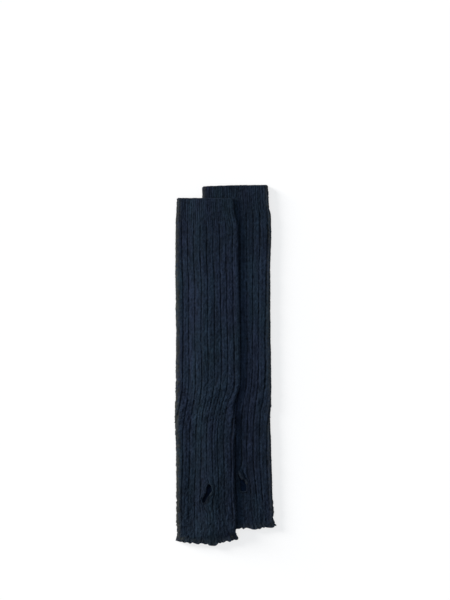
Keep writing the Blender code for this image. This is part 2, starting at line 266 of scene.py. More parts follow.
ROUND = 20
RIGHT_FOLD = 10
FIRST_RIB = -5  # columns start underneath, so that the seam of their numbering is hidden
SHOWN_FROM, SHOWN_TO = -1, 12  # ribs with all their columns; the underside's have half
SLIT_PLACE = 6  # the groove that opens as the thumb slit
COURSE = 2.0 * MM  # height of a row of stitches, which has two rows of vertices
END_ROWS = 5  # rows of vertices in which the V shapes level out towards a free end
FADE = 9 * MM  # over which wide rib turns into the fine rib of a cuff

# Columns of vertices from a groove's middle to a rib's middle: place in the rib, height over the plain
# face and depth of each stitch's swelling in millimetres, and rise of the V in rows of stitches
WIDE_STITCHES = (
    (0, 0.15, 0.05, 0.8), (0.05, 0.3, 0.06, 0.8), (0.11, 0.8, 0.12, 0.6),
    (0.19, 1.14, 0.2, 0.4), (0.29, 1.08, 0.08, 0), (0.395, 1.14, 0.2, 0.4),
    (0.5, 0.95, 0.04, 0.8),
)
FINE_STITCHES = (
    (0, 0.38, 0.05, 0.8), (0.06, 0.58, 0.08, 0.6), (0.145, 0.92, 0.18, 0.4),
    (0.25, 0.92, 0.08, 0), (0.355, 0.92, 0.18, 0.4), (0.44, 0.68, 0.08, 0.6),
    (0.5, 0.56, 0.05, 0.8),
)
# The upper cuff's ribs are one wale each, three to a wide rib
TOP_STITCHES = (
    (0, 0.28, 0.05, 0.8),
    (0.0833, 0.86, 0.16, 0.4),
    (0.1667, 0.98, 0.08, 0),
)
# Columns of a rib that the underside keeps
SPARSE = (0, 2, 4, 6, 8, 10)
SPARSE_FINE = (0, 2, 3, 6, 9, 10)

# Unevenness of the outer face: heights, with the lengths along a wale over which they change
STRANDS = 8  # parts of a rib that stand out differently in each row of stitches
DRAWN_ROWS = 1024  # more rows of stitches than a warmer has
FULL_BEAD = 0.2 * MM
SWELL_SPREAD = 0.45  # how much the swelling of stitches differs
PROUD = 0.13 * MM  # single stitches that stand out
LUMP, LUMP_LENGTH = 0.16 * MM, 3.2 * MM  # a quarter of a rib wide
BULGE, BULGE_LENGTH = 0.16 * MM, 14 * MM  # a rib wide
FILL = (0.15, 0.45, -0.2, 0.9)  # yarn in the grooves, in millimetres: mean, spread, least and most
FILL_LENGTH = 3 * MM
STREAK, STREAK_LENGTH = 0.06 * MM, 12 * MM  # strands that stand out and are lighter
STITCH_TONE = 0.3  # how much the tone of single stitches differs
STREAKS, UPPER_STREAKS = 1.55, 2.15  # strength of the streaks below the upper cuff and on it
FADING, FADING_LENGTH = (0.3, 0.35), 22 * MM  # how far the shades of grooves and of wales' borders fade
WANDERS = ((0.018, 26 * MM, 40), (0.022, 7 * MM, 70))  # of grooves: ribs, shortest wave and seed

# Edgings: thickness across and along their own plane, and the wraps of yarn along them
HEM_CORD = (1.0 * MM, 0.85 * MM, 1.55 * MM)
TOP_CORD = (1.0 * MM, 0.95 * MM, 2.15 * MM)
THUMB_CORD = (1.5 * MM, 1.1 * MM, 1.8 * MM)
CORD_STEP, CORD_SIDES = 0.42 * MM, 9
WRAP_LEAST, WRAP_SWELL, WRAP_ROUND = 0.88, 0.2, 0.8  # section of a wrap, from its border to its middle
WRAP_SPREAD = (0.82, 1.2)
CORD_SHADE = 2.2  # painted shade: how dark the dips between wraps are painted

GROOVE_SHADE = 1.25 * MM  # painted shade: yarn lower than this over the plain face is painted darker
WORN_AND_LIT_REACH = 7.6 * MM  # how far in from a fold its yarn is painted pale, as wear and painted highlight
PAINTED_RUFFLE_LIGHT = 0.3  # painted light: how much paler the ruffle is painted towards the hem's edge, where it slopes away from the lamps

# The fine rib of a hand cuff is flatter than that of the upper arm, and that of the ruffle flatter still
CUFF_LEVEL = 0.92 * MM
CUFF_CALM = 0.65
HEM_FLAT = 0.75
HEM_CALM = 0.2

WAVES = 12
HEM_LIFT = 1.1 * MM  # the hem doesn't lie as flat as its thinner wall would let it
WAVE_LIFT = 1.5 * MM
SCALLOP, SCALLOP_TURN = 1.1 * MM, 1.2  # of the edge, and their turn against the waves
WAVE_FREE = 6 * MM  # from the left warmer's edge to full waves on the right one
CORNER = 14  # waves are full a 14th of the hem's width from its ends
# Unevenness of the hem, with the share of its width over which it changes
WAVE_SHIFT, WAVE_SIZE, RAGGED = (0.45, 0.16), (0.35, 0.11), (0.6 * MM, 0.03)
CURL_SPAN, CURL_SOFT = 1 / 12, 3.2  # half the curled stretch, and how steep its sides are
CURL_CALM = 0.8  # how far the scallops vanish there
CURL_UNDER = 0.4  # share of the curl on the underside


def smooth(share):
    """0 to 1 with level ends."""
    share = np.clip(share, 0.0, 1.0)
    return share * share * (3 - 2 * share)


def wobble(seed, t, shortest):
    """A smooth, uneven curve of about unit size along t, with waves of shortest and longer."""
    rng = np.random.default_rng(seed)
    total = np.zeros_like(t)
    for stretch in (1.0, 1.6, 2.7, 4.3):
        total += rng.uniform(0.6, 1.0) * np.sin(2 * math.pi * (t / (shortest * stretch) + rng.uniform()))
    return total / 2


def mottle(seed, u, v, u_round):
    """Smooth noise of about unit size with a new value at each whole u and v. It repeats after u_round."""
    rng = np.random.default_rng(seed)
    table = rng.normal(size=(256, 512)) * 0.8
    v_round = table.shape[1]
    u_whole, v_whole = np.floor(u).astype(int), np.floor(v).astype(int)
    u_share, v_share = smooth(u - u_whole), smooth(v - v_whole)
    u0, u1 = u_whole % u_round, (u_whole + 1) % u_round
    v0, v1 = v_whole % v_round, (v_whole + 1) % v_round
    low = table[u0, v0] * (1 - u_share) + table[u1, v0] * u_share
    high = table[u0, v1] * (1 - u_share) + table[u1, v1] * u_share
    return low * (1 - v_share) + high * v_share


def bell(blur, widths):
    """The steps up to some widths of a bell curve from its middle, and their weights."""
    steps = np.arange(-widths * blur, widths * blur + 1)
    weights = np.exp(-((steps / blur) ** 2) / 2)
    return steps, weights / weights.sum()


# ---- Where the wall lies ----


def dense(rows, blur, parts=1, margin=60):
    """A table with rows 1 mm apart, rounded off over blur mm. Its values are in 1/parts of a unit."""
    table = np.array(rows, float)[::-1]
    table[:, 1:] /= parts
    y = np.arange(table[0, 0] - margin, table[-1, 0] + margin)
    steps, weights = bell(blur, widths=4)
    rounded = [y * MM]
    for i in range(1, table.shape[1]):
        padded = np.pad(np.interp(y, table[:, 0], table[:, i]), steps[-1], mode="edge")
        rounded.append(np.convolve(padded, weights, mode="valid"))
    return rounded


OUTLINES = {warmer["name"]: dense(warmer["outline"], blur=3) for warmer in (LEFT, RIGHT)}
CALM_OUTLINES = {warmer["name"]: dense(warmer["outline"], blur=12) for warmer in (LEFT, RIGHT)}
GROOVES = {warmer["name"]: dense(warmer["grooves"], blur=6, parts=100) for warmer in (LEFT, RIGHT)}


def edges_at(warmer, y, outlines=OUTLINES):
    """The left and right edge of a warmer at y."""
    along, left, right = outlines[warmer["name"]]
    return np.interp(y, along, left) * MM, np.interp(y, along, right) * MM


def along_warmer(rows, y):
    """A table's value at y."""
    at, values = np.array(rows).T
    return np.interp(y, at * MM, values)


def support(warmer, x, y):
    """How high the underside lies: on the floor, or on the other warmer."""
    if warmer is RIGHT:
        return np.zeros_like(x)
    step = 2 * HALF + RIB + LAY
    start = edges_at(RIGHT, y)[0] + CLIMB_END - CLIMB
    return step * smooth((x - start) / CLIMB) * smooth((y - LEFT["hem"]) / HEM_DROP)


def soft_bumps(rows, x, y):
    """The sum of soft oblong bumps, as large as their heights."""
    height = np.zeros_like(x)
    for row in rows:
        fold = dict(zip(FOLD_COLUMNS, row))
        across, along = x - fold["x"] * MM, y - fold["y"] * MM
        turn = math.radians(fold["turn"])
        u = (across * math.cos(turn) + along * math.sin(turn)) / (fold["length"] / 2 * MM)
        v = (along * math.cos(turn) - across * math.sin(turn)) / (fold["width"] / 2 * MM)
        height += fold["height"] * smooth(1 - np.hypot(u, v) / 1.4)
    return height


def end_slant(warmer, share, y):
    """The free ends aren't square: both tilt and bow."""
    to_top = smooth((y - warmer["top"]) / UPPER_CUFF + 1)
    to_hem = smooth((warmer["hem"] - y) / HAND_END + 1)
    tilt, bow = share - 0.5, 4 * share * (1 - share)
    at_top = warmer["top_tilt"] * tilt + warmer["top_bow"] * bow
    at_hem = warmer["hem_tilt"] * tilt - warmer["hem_bow"] * bow
    return at_top * to_top + at_hem * to_hem


def beside_fold(ribs):
    """1 within a rib of a fold, and 0 from 3.5 ribs in."""
    return smooth(1.4 - ribs / 2.5)


def lay(warmer, around, y, out, half=HALF):
    """Where a point of the flattened tube lies before its ends slant.

    around is its place round the warmer and out its distance outside the plain face. Returns x, the height
    over the middle of the hollow, how much it belongs to the upper panel and how much to the underside.
    The ribs near a folded edge follow its bumps, and those further in run calmly.
    """
    left, right = edges_at(warmer, y)
    calm_left, calm_right = edges_at(warmer, y, CALM_OUTLINES)
    pitch = (calm_right - calm_left) / RIGHT_FOLD
    turned = np.mod(around, ROUND)
    upper = turned < RIGHT_FOLD
    from_left = np.where(upper, turned, ROUND - turned)
    nearest = np.minimum(from_left, RIGHT_FOLD - from_left)
    at_left = from_left < RIGHT_FOLD / 2
    fold, quarter = np.where(at_left, *FOLD_REACH), np.where(at_left, *FOLD_QUARTER)
    run = nearest * (quarter + pitch - fold)
    angle = math.pi / 2 * np.clip(run / quarter, 0, 1)
    reach = fold - (fold + out - FOLD_OUT) * np.cos(angle) + np.maximum(run - quarter, 0)
    near_edge = np.where(at_left, left + reach, right - reach)
    inside = calm_left + pitch * from_left
    inside = inside + (left - calm_left) * beside_fold(from_left)
    inside = inside + (right - calm_right) * beside_fold(RIGHT_FOLD - from_left)
    x = np.where(nearest < 1, near_edge, inside)
    sheer = np.sin(angle)
    height = np.where(upper, 1, -1) * (half + out) * sheer
    return x, height, np.where(upper, sheer, 0), np.where(upper, 0, sheer)


# ---- Thumb slit ----


def hole_line(warmer, y):
    """The middle of the slit and half its width at y."""
    x, middle = warmer["hole"]
    share = np.clip((y - middle) / HOLE_LENGTH + 0.5, 0, 1)
    shares, offsets, half_widths = np.array(warmer["slit"]).T
    return x + np.interp(share, shares, offsets) * MM, np.interp(share, shares, half_widths) * MM


def part_wales(warmer, x, slit_x, y, side):
    """How far the slit pushes wales sideways. side is -1 on its left and 1 on its right."""
    middle, half_width = hole_line(warmer, y)
    beyond = np.maximum(np.abs(y - warmer["hole"][1]) - HOLE_LENGTH / 2, 0)
    lean = (middle - slit_x) * smooth(1 - beyond / LEAN_BEYOND)
    distance = x - slit_x
    pushed = side * half_width * np.exp(-np.abs(distance / PUSH_REACH) ** 1.5)
    return lean * np.exp(-((distance / LEAN_REACH) ** 2)) + pushed


# ---- Knitted tubes ----


def whole_rib(half, ribs=1):
    """The columns of a wide rib from those of one half of each of its ribs."""
    mirrored = [(1 / ribs - place, *rest) for place, *rest in reversed(half[1:-1])]
    return [(place + i / ribs, *rest) for i in range(ribs) for place, *rest in (*half, *mirrored)]


def columns_round(stitches, sparse):
    """Place, height, bead and rise of the columns all round. Ribs underneath have the sparse ones."""
    columns = []
    for rib in range(FIRST_RIB, FIRST_RIB + ROUND):
        chosen = stitches if SHOWN_FROM <= rib < SHOWN_TO else [stitches[i] for i in sparse]
        columns += [(rib + place, height * MM, bead * MM, rise) for place, height, bead, rise in chosen]
    return np.array(columns).T


WIDE_COLUMNS = columns_round(whole_rib(WIDE_STITCHES), SPARSE)
FINE_COLUMNS = columns_round(whole_rib(FINE_STITCHES), SPARSE_FINE)
TOP_COLUMNS = columns_round(whole_rib(TOP_STITCHES, ribs=3), SPARSE)
COUNT = WIDE_COLUMNS.shape[1]


def between_grooves(table, place):
    """Values at places round the warmer from those of the grooves."""
    whole = np.floor(place).astype(int)
    share = place - whole
    return table[:, whole % ROUND] * (1 - share) + table[:, (whole + 1) % ROUND] * share


def wander(warmer, place, y):
    """How far the ribs wander from straight lines, in ribs."""
    along, *lines = GROOVES[warmer["name"]]
    seen = np.stack([np.interp(y, along, line) for line in lines], axis=1)
    twist = np.broadcast_to(seen.mean(axis=1)[:, None], (len(y), ROUND))
    table = np.concatenate([twist[:, :1], seen, twist[:, : ROUND - RIGHT_FOLD - 1]], axis=1)
    for amplitude, shortest, seed in WANDERS:
        waves = [wobble(warmer["seed"] * 100 + seed + k, y, shortest) for k in range(ROUND)]
        table = table + amplitude * np.stack(waves, axis=1)
    return between_grooves(table, place)


def row_heights(warmer):
    """Where the rows of vertices of a warmer lie along y, from its hem to its top."""
    length = warmer["top"] - warmer["hem"]
    return np.linspace(warmer["hem"], warmer["top"], 2 * round(length / COURSE) + 1)


class KnittedTube:
    """The wall of one piece between two rows of vertices of a warmer, which count from its hem."""

    def __init__(self, warmer, part, first, last, wide=False, hem=False, slit=False, calm_from=None):
        self.warmer = warmer
        self.name = f"{warmer['name']}_{part}_knit"
        self.first = first
        self.y = row_heights(warmer)[first : last + 1]
        self.low, self.high = self.y[0], self.y[-1]
        self.calm_from = calm_from
        self.wide, self.hem, self.slit = wide, hem, slit
        off_middle = np.abs(self.y - warmer["hole"][1])
        self.open_rows = np.nonzero(off_middle < HOLE_LENGTH / 2)[0] if slit else np.array([], int)
        self.slit_column = int(np.argmin(np.abs(WIDE_COLUMNS[0] - SLIT_PLACE)))

    def columns(self, y):
        """Place, height, bead and rise of every column in each row, which turn from wide to fine rib."""
        wide = np.zeros_like(y)
        if self.wide:
            wide = smooth((y - self.low) / FADE) * smooth((self.high - y) / FADE)
        wide, at_top = wide[:, None], (y > 0)[:, None]
        ends = [np.where(at_top, top, fine) for top, fine in zip(TOP_COLUMNS, FINE_COLUMNS)]
        return [w * wide + end * (1 - wide) for w, end in zip(WIDE_COLUMNS, ends)]

    def relief(self, rows, y, place, height, bead):
        """How far the outer face stands out of the plain face, how light it is and where its lines fade."""
        warmer = self.warmer
        seed = warmer["seed"] * 10
        rows = rows + self.first
        course = (rows // 2)[:, None]
        uneven = np.random.default_rng(seed + 1).normal(size=(DRAWN_ROWS, STRANDS * ROUND)).clip(-2, 2)
        strand = np.floor(place * STRANDS).astype(int) % (STRANDS * ROUND)
        own = uneven[np.broadcast_to(course, strand.shape), strand]
        body = (height / MM).clip(0, 1)
        swell = np.where(rows % 2 == 0, 1.0, -1.0)[:, None] * bead * (1 + SWELL_SPREAD * own)
        rough = along_warmer(warmer["roughness"], row_heights(warmer)[rows])[:, None]
        proud = PROUD * rough * own * (bead / FULL_BEAD)
        proud = proud + LUMP * rough * body * mottle(seed + 2, place * 4, y / LUMP_LENGTH, 4 * ROUND)
        bulge = BULGE * body * mottle(seed + 3, place, y / BULGE_LENGTH, ROUND)
        mean, spread, least, most = FILL
        filled = mean + spread * mottle(seed + 4, place * 2, y / FILL_LENGTH, 2 * ROUND)
        fill = (1 - body) * MM * np.clip(filled, least, most)
        tone = mottle(seed + 5, place * STRANDS, y / STREAK_LENGTH, STRANDS * ROUND) + STITCH_TONE * own
        on_cuff = smooth((y - warmer["top"] + UPPER_CUFF) / FADE)
        tone = tone * (STREAKS + (UPPER_STREAKS - STREAKS) * on_cuff)
        streak = STREAK * body * tone
        fade = mottle(seed + 6, place * 2, y / FADING_LENGTH, 2 * ROUND)
        free_end = smooth((self.from_free_end(rows) - 0.5) / 3)[:, None]
        return height + (swell + proud + bulge + fill + streak) * free_end, tone, fade

    def from_free_end(self, rows):
        """How many rows these are away from the warmer's top or hem."""
        return np.minimum(rows, len(row_heights(self.warmer)) - 1 - rows)

    def parting(self, x, y, y_row, side):
        """How far the slit pushes the vertices sideways. side says where the column on the slit goes."""
        slit_around = SLIT_PLACE + wander(self.warmer, np.array([float(SLIT_PLACE)]), y_row)
        slit_x = lay(self.warmer, slit_around + np.zeros_like(y), y, 0.0)[0]
        column = np.arange(COUNT)
        beside = np.sign(column - self.slit_column) + side * (column == self.slit_column)
        return part_wales(self.warmer, x, slit_x, y, beside[None, :])

    def points(self, rows, outside, side=0):
        """The vertices of these rows, on the outer or the inner face, and their looks."""
        warmer = self.warmer
        y_row = self.y[rows]
        place, height, bead, rise = self.columns(y_row)
        if self.calm_from is not None:
            calm = 1 + (CUFF_CALM - 1) * smooth((self.calm_from - y_row) / FADE)[:, None]
            height = CUFF_LEVEL + (height - CUFF_LEVEL) * calm
        level = smooth(self.from_free_end(rows + self.first) / END_ROWS)[:, None]
        y = y_row[:, None] + COURSE * rise * level
        first_places = self.columns(y_row[:1])[0][0]
        around = place + wander(warmer, first_places, y_row)
        wall, half, thin = WALL, HALF, 0.0
        if self.hem:
            thin = smooth((self.high - y) / (self.high - self.low))
            wall, half = WALL + (HEM_WALL - WALL) * thin, HALF + (HEM_HALF - HALF) * thin
            height, bead = height * (1 - HEM_FLAT * thin), bead * (1 - HEM_CALM * thin)
        if outside:
            out, tone, fade = self.relief(rows, y, place, height, bead)
            out = out - lay(warmer, around, y, 0.0)[3] * RIB
        else:
            out = -wall * np.ones_like(y)
            tone, fade = np.zeros_like(y), np.zeros_like(y)
        x, lift, upper, _ = lay(warmer, around, y, out, half)
        if self.slit:
            x = x + upper * self.parting(x, y, y_row, side)
        edges = edges_at(warmer, y)
        share = (x - edges[0]) / (edges[1] - edges[0])
        folds = soft_bumps(warmer["folds"], x, y) * MM
        z = support(warmer, x, y) + np.maximum(half + lift, FLOOR_GAP) + upper * folds
        if warmer is RIGHT:
            # The left warmer presses its stitches down where it lies on them
            z = np.where(x < edges_at(LEFT, y)[1], np.minimum(z, support(LEFT, x, y)), z)
        y = y + end_slant(warmer, share, y)
        if self.hem:
            dy, dz = self.wave(thin, share, x, upper)
            y, z = y + dy, z + dz
        painted_shade, worn_and_lit = np.ones_like(y), np.zeros_like(y)
        if outside:
            # Painted shade: yarn that lies low in the grooves is painted darker, and the shade patches
            # paint shade where lips and hems lie in shadow
            painted_shade = np.clip(1 - out / GROOVE_SHADE / (1 - HEM_FLAT * thin), 0, 1)
            painted_shade = painted_shade * (1 - FADING[0] * np.clip(fade, -0.8, 1))
            painted_shade = np.maximum(painted_shade, upper * np.minimum(soft_bumps(warmer["shade_patches"], x, y), 1))
            worn_and_lit = self.wear_and_highlight(x, y, edges, thin, upper) * smooth(lift / half * 2)
        leg = rise / rise.max() * (1 - FADING[1] * np.clip(fade, 0, 1))
        tone = tone + along_warmer(warmer["tones"], y_row)[:, None]
        return np.stack([x, y, z], axis=-1), np.stack([painted_shade, worn_and_lit, leg, tone])

    def wear_and_highlight(self, x, y, edges, thin, upper):
        """How pale the yarn is painted along the folds and at the hem: wear and painted highlight on the
        folds, painted light on the ruffle, and paler places on the hem.
        """
        (at_left, at_right), (left, right) = self.warmer["wear_and_highlight"], edges
        # Wear and painted highlight: the folds are painted paler, most of all the left warmer's left fold,
        # which faces the lamps
        worn_and_lit = at_left * smooth(1 - (x - left) / WORN_AND_LIT_REACH) + at_right * smooth(1 - (right - x) / WORN_AND_LIT_REACH)
        if self.hem:
            # Painted light: the ruffle is painted paler towards its edge, where it slopes away from the
            # lamps
            worn_and_lit = np.maximum(worn_and_lit, PAINTED_RUFFLE_LIGHT * thin)
            worn_and_lit = np.maximum(worn_and_lit, upper * np.minimum(soft_bumps(self.warmer["pales"], x, y), 1))
        return worn_and_lit

    def wave(self, thin, share, x, upper):
        """How the ruffle moves a point of the hem."""
        warmer = self.warmer

        def uneven(draw, amount, shortest):
            return amount * wobble(warmer["seed"] + draw, share, shortest)

        free = smooth(np.minimum(share, 1 - share) * CORNER)
        if warmer is RIGHT:
            free = free * smooth((x - edges_at(LEFT, self.low)[1]) / WAVE_FREE)
        turn = 2 * math.pi * (WAVES * share + uneven(5, *WAVE_SHIFT))
        size = 1 + uneven(6, *WAVE_SIZE)
        middle, depth = warmer["curl"]
        curl = smooth(CURL_SOFT - CURL_SOFT * np.abs(share - middle) / CURL_SPAN)
        scallop = SCALLOP * np.sin(turn + SCALLOP_TURN) * size * (1 - CURL_CALM * curl)
        curled = depth * curl * (CURL_UNDER + (1 - CURL_UNDER) * upper)
        dy = -thin * (scallop + uneven(7, *RAGGED) + curled)
        lift = HEM_LIFT + WAVE_LIFT * (0.5 - 0.5 * np.cos(turn)) * size
        return dy, thin * free * upper * lift

    def build(self, inner_step=12):
        """The closed wall as an object, with the lines of its ends and of its slit."""
        rows = np.arange(len(self.y))
        inner_rows = np.union1d(rows[::inner_step], rows[-1:])
        if self.slit:
            first, last = self.open_rows[0] - 1, self.open_rows[-1] + 1
            inner_rows = np.union1d(inner_rows, rows[first : last + 1])
        stack = MeshStack(self.warmer["painted_inside_light"])
        grids = []
        for outside, which in ((True, rows), (False, inner_rows)):
            points, looks = self.points(which, outside, side=-1)
            index = stack.add(points, looks, which + self.first, outside)
            twin = index.copy()
            if self.slit:
                opened = np.isin(which, self.open_rows)
                points, looks = self.points(which[opened], outside, side=1)
                lip = slice(self.slit_column, self.slit_column + 1)
                rows_there = which[opened] + self.first
                twin[opened, lip] = stack.add(points[:, lip], looks[:, :, lip], rows_there, outside)
            grids.append((which, index, twin))
        for (which, index, twin), flip in zip(grids, (False, True)):
            far = np.roll(index, -1, axis=1)
            stack.quads(twin[:-1], far[:-1], far[1:], twin[1:], flip)
        (_, outer, _), (_, inner, _) = grids
        for row, flip in ((0, True), (-1, False)):
            outer_next, inner_next = np.roll(outer[row], -1), np.roll(inner[row], -1)
            stack.quads(outer[row], outer_next, inner_next, inner[row], flip, flat=True)
        rims = []
        if self.slit:
            for side, flip in ((1, False), (2, True)):
                outer_line, inner_line = (
                    grid[side][(grid[0] >= first) & (grid[0] <= last), self.slit_column] for grid in grids
                )
                stack.quads(outer_line[:-1], outer_line[1:], inner_line[1:], inner_line[:-1], flip)
                rims.append((stack.at(outer_line) + stack.at(inner_line)) / 2)
        ends = [(stack.at(outer[row]) + stack.at(inner[row])) / 2 for row in (0, -1)]
        return stack.make(self.name), ends, rims


class MeshStack:
    """Vertices and quads of a mesh that is put together from grids, and the values its material reads."""

    def __init__(self, painted_inside_light):
        self.painted_inside_light = painted_inside_light
        self.points, self.faces, self.flat = [], [], []
        self.looks = {label: [] for label in ("painted_shade", "inside", "worn_and_lit", "leg", "course", "tone")}
        self.total = 0

    def add(self, points, looks, rows, outside):
        """Takes a grid of vertices and returns their numbers."""
        count, width = looks.shape[1:]
        self.points.append(points.reshape(-1, 3))
        for label, values in zip(("painted_shade", "worn_and_lit", "leg", "tone"), looks):
            self.looks[label].append(values.ravel())
        self.looks["course"].append(np.repeat(rows / 2, width))
        self.looks["inside"].append(np.full(count * width, 0.0 if outside else self.painted_inside_light))
        index = self.total + np.arange(count * width).reshape(count, width)
        self.total += count * width
        return index

    def at(self, index):
        """The vertices of these numbers."""
        return np.concatenate(self.points)[index]

    def quads(self, a, b, c, d, flip, flat=False):
        """Takes a face for each four numbers."""
        found = np.stack([a.ravel(), b.ravel(), c.ravel(), d.ravel()], axis=1)
        self.faces.append(found[:, ::-1] if flip else found)
        self.flat.append(np.full(len(found), flat))

    def make(self, name):
        """The whole mesh as an object."""
        flat = np.nonzero(np.concatenate(self.flat))[0]
        made = new_object(name, np.concatenate(self.points), np.concatenate(self.faces), flat)
        for label, values in self.looks.items():
            paint(made, label, np.concatenate(values))
        return made


def new_object(name, vertices, faces, flat=()):
    """An object of these faces, smooth except for the flat ones, which get sharp edges."""
    data = bpy.data.meshes.new(name)
    data.from_pydata(vertices.tolist(), [], faces.tolist())
    data.shade_smooth()
    made = bpy.data.objects.new(name, data)
    bpy.context.scene.collection.objects.link(made)
    mesh = bmesh.new()
    mesh.from_mesh(data)
    bmesh.ops.recalc_face_normals(mesh, faces=mesh.faces)
    mesh.faces.ensure_lookup_table()
    for i in flat:
        mesh.faces[i].smooth = False
        for edge in mesh.faces[i].edges:
            edge.smooth = False
    mesh.to_mesh(data)
    mesh.free()
    return made


def paint(made, label, values):
    """A value per vertex that the material reads."""
    made.data.attributes.new(label, "FLOAT", "POINT").data.foreach_set("value", values)


# ---- Overcast edges ----


def closed_smooth(line, blur):
    """A closed line of points rounded off over blur steps."""
    return sum(weight * np.roll(line, -step, axis=0) for step, weight in zip(*bell(blur, widths=3)))


def cord_round(warmer, part, line, axis, sizes, seed, nubs=(), blur=3):
    """An edge of yarn wrapped over the rim that a closed line runs along. axis points across the rim."""
    across, along, pitch = sizes
    closed = np.concatenate([line, line[:1]])
    run = np.append(0, np.cumsum(np.linalg.norm(np.diff(closed, axis=0), axis=1)))
    rings = int(run[-1] / CORD_STEP)
    at = np.arange(rings) * run[-1] / rings
    middle = np.stack([np.interp(at, run, closed[:, i]) for i in range(3)], axis=1)
    middle = closed_smooth(middle, blur)
    tangent = np.roll(middle, -1, axis=0) - np.roll(middle, 1, axis=0)
    tangent /= np.linalg.norm(tangent, axis=1)[:, None]
    axis = np.array(axis, float)
    up = axis - (tangent @ axis)[:, None] * tangent
    up /= np.linalg.norm(up, axis=1)[:, None]
    side = np.cross(tangent, up)
    wraps = round(run[-1] / pitch)
    angle = 2 * math.pi * np.arange(CORD_SIDES) / CORD_SIDES
    phase = 2 * math.pi * wraps * at / run[-1]
    drawn = np.random.default_rng(seed).uniform(*WRAP_SPREAD, wraps + 1)
    own = np.interp(phase / (2 * math.pi), np.arange(wraps + 1), drawn)
    bulge = np.abs(np.cos(phase[:, None] / 2 + angle[None, :] * 0.5)) ** WRAP_ROUND
    swell = (WRAP_LEAST + WRAP_SWELL * bulge) * own[:, None]
    pale = np.zeros(rings)
    x, y = middle[:, 0], middle[:, 1]
    for row in nubs:
        nub = dict(zip(NUB_COLUMNS, row))
        away = np.hypot(x - nub["x"] * MM, y - nub["y"] * MM) / (nub["reach"] * MM)
        near = smooth(1.3 - away)
        swell = swell * (1 + nub["gain"] * near)[:, None]
        pale = np.maximum(pale, nub["pale"] * near)
    patch_shade = np.minimum(soft_bumps(warmer["shade_patches"], x, y), 1)
    pale = np.maximum(pale, np.minimum(soft_bumps(warmer["pales"], x, y), 1))
    points = (
        middle[:, None, :]
        + up[:, None, :] * (across * np.cos(angle)[None, :] * swell)[..., None]
        + side[:, None, :] * (along * np.sin(angle)[None, :] * swell)[..., None]
    )
    points[..., 2] = np.maximum(points[..., 2], FLOOR_GAP)
    index = np.arange(rings * CORD_SIDES).reshape(rings, CORD_SIDES)
    a, b = index, np.roll(index, -1, axis=0)
    faces = np.stack([a, np.roll(a, -1, axis=1), np.roll(b, -1, axis=1), b], axis=-1).reshape(-1, 4)
    made = new_object(f"{warmer['name']}_{part}_edging_yarn", points.reshape(-1, 3), faces)
    # Painted shade in the dips between wraps, and no lighter than the shade patches there
    painted_shade = np.clip(CORD_SHADE - CORD_SHADE * swell / swell.mean(axis=1)[:, None], patch_shade[:, None], 1)
    paint(made, "painted_shade", painted_shade.ravel())
    paint(made, "worn_and_lit", np.repeat(pale, CORD_SIDES))
    paint(made, "leg", np.full(painted_shade.size, 0.5))
    paint(made, "course", np.repeat(phase / (2 * math.pi) * wraps / (wraps + 1), CORD_SIDES))
    return made


# ---- Materials ----

# Yarns: colour, how strongly stray fibres show, and painted shade: brightness from the borders of a stitch
# to its middle and from the top of a rib to the bottom of a groove
YARNS = {
    "wide_rib_yarn": ((0.0067, 0.0112, 0.0202), 0.35, (0.55, 1.2), (1.06, 0.44)),
    "fine_rib_yarn": ((0.0062, 0.0101, 0.0178), 0.3, (0.84, 1.08), (1.03, 0.62)),
    "overcast_yarn": ((0.0056, 0.0089, 0.0157), 0.3, (0.55, 1.2), (1.06, 0.4)),
}
FIBRE_COLOUR = (0.023, 0.029, 0.039)
WORN_AND_LIT_COLOUR = (0.024, 0.0255, 0.0215)
GREENER, REDDER, INSIDE_SHADE_TINT = (0.88, 1.04, 0.93), (1.06, 0.968, 1.03), (0.8, 1.15, 1.55)  # factors of a colour

# Noises: scale, stretch, detail and roughness, and then a range's two ends and what they become
HUES = (40, (1, 0.25, 1), 3, 0.6), (0.36, 0.64, 0, 1)
MOTTLES = (330, (1, 0.7, 1), 4, 0.65), (0.3, 0.7, 0.58, 1.44)
PATCHES = (95, (1, 0.6, 1), 2, 0.5), (0.3, 0.7, 0.9, 1.1)
FIBRE_PLACES = (210, (1, 1, 1), 1, 0.5), (0.5, 0.58, 0, 1)
WORN_AND_LIT_SPECKS = (640, (1, 0.6, 1), 3, 0.7), (0.38, 0.62, 0.0, 1.3)
GLOSS = (500, (1, 1, 1), 2, 0.5), (0.3, 0.7, 0.82, 0.98)
FIBRE_LINES = (420, (1, 0.7, 1), 3, 0.7)
FUZZ = (1500, (1, 0.45, 1), 3, 0.6)

# Ranges along a leg of the V, from its middle, 0, to its border, 1: relief and painted shade
MIDDLE_RELIEF, BORDER_RELIEF = (0.0, 0.3, 0.25, 1.0), (0.86, 1.0, 1.0, 0.45)
MIDDLE_SHADE, BORDER_SHADE = (0.0, 0.3, 0.75, 1.0), (0.55, 1.0, 1.0, 0.45)
BAND_ROUND = 2.4  # how round the band of a row of stitches is
PLY_TURNS = (12.6, 9.0)  # how fast the yarn's plies turn, along the rows and along a leg
PLY_SHADE = (-1, 1, 0.93, 1.07)
TONE_RANGE = (-1.5, 1.5, 0.74, 1.26)
# Painted shade and light inside the tube: its faces take the bluer tint of shade, and the right warmer's
# inside is painted lighter
INSIDE_TINT, INSIDE_SHADE = (0.0, 0.5, 0, 1), (0.5, 1, 1.0, 1.3)
FIBRE_WIDTH = 0.016
PLY_RELIEF, FUZZ_RELIEF = 0.10, 0.7
YARN_SURFACE = {
    "Specular IOR Level": 0.03,
    "Sheen Weight": 0.04,
    "Sheen Roughness": 0.45,
    "Sheen Tint": (0.55, 0.62, 0.72, 1),
}


def set_inputs(node, values):
    """Gives a node's sockets their values."""
    for name, value in values.items():
        node.inputs[name].default_value = value


